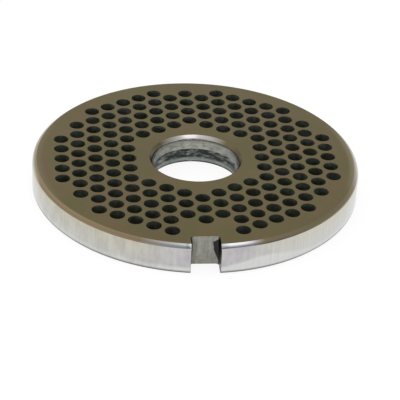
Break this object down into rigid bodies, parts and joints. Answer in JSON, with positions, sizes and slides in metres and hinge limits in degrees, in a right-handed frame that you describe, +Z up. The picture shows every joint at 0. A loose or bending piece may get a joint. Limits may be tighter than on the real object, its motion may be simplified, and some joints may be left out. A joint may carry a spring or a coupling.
{
  "type": "meat grinder plate",
  "caption": "Flat round steel plate with a field of small round through-holes, a chamfered centre bore and a key slot in its rim, through which a meat grinder presses meat.",
  "frame": {"origin": "centre of the underside, on the axis of the bore", "axes": "+Z up along the bore, from the underside to the face with the lead-in cone; the key slot opens towards -Y"},
  "size_m": [0.098, 0.0979, 0.0092],
  "materials": {
    "plate_steel": "ground faces, turned rim and bore"
  },
  "bodies": {
    "root": {"grinder_plate": "plate_steel"}
  },
  "joints": []
}
